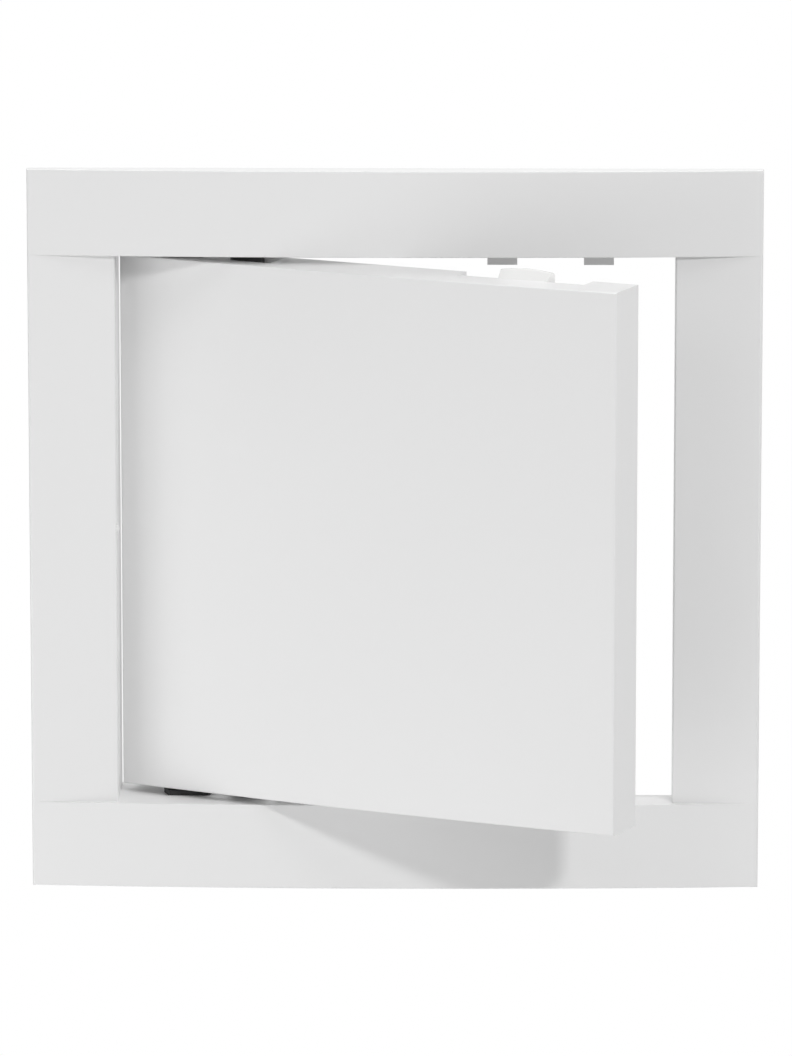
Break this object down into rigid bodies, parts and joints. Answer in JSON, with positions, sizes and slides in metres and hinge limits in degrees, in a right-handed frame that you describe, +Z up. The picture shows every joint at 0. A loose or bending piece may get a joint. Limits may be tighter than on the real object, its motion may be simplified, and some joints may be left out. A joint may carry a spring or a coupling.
{
  "type": "access panel",
  "caption": "Square flush access panel: flanged frame with gently bowed rails and a tray door on inset pivots, held shut by spring clips.",
  "frame": {"origin": "centre of the opening in the wall plane, which is the back face of the flange", "axes": "+X to the right seen from the room, +Y into the wall, +Z up; the door's face looks along -Y"},
  "size_m": [0.24, 0.0895, 0.24],
  "materials": {
    "frame_white": "smooth white moulding with a soft sheen",
    "door_white": "smooth white moulding with a soft sheen",
    "hinge_black": "plain black moulding",
    "pin_steel": "drawn wire",
    "clip_white": "smooth natural white moulding"
  },
  "bodies": {
    "frame_body": {"frame": "frame_white", "hinge_bracket_top": "hinge_black", "hinge_bracket_bottom": "hinge_black", "hinge_pin_top": "pin_steel", "hinge_pin_bottom": "pin_steel"},
    "door": {"door_panel": "door_white"},
    "latch_top": {"latch_clip_top": "clip_white"},
    "latch_bottom": {"latch_clip_bottom": "clip_white"}
  },
  "joints": [
    {"name": "door_swing", "type": "hinge", "parent": "frame_body", "child": "door", "pos_m": [-0.0486, 0.00896, 0], "axis": [0, 0, -1], "range_deg": [-24.5, 80.5]},
    {"name": "latch_top_press", "type": "slide", "parent": "door", "child": "latch_top", "axis": [0, 0, -1], "range_m": [0, 0.0016], "stiffness_N_per_m": 1500},
    {"name": "latch_bottom_press", "type": "slide", "parent": "door", "child": "latch_bottom", "axis": [0, 0, 1], "range_m": [0, 0.0016], "stiffness_N_per_m": 1500}
  ]
}
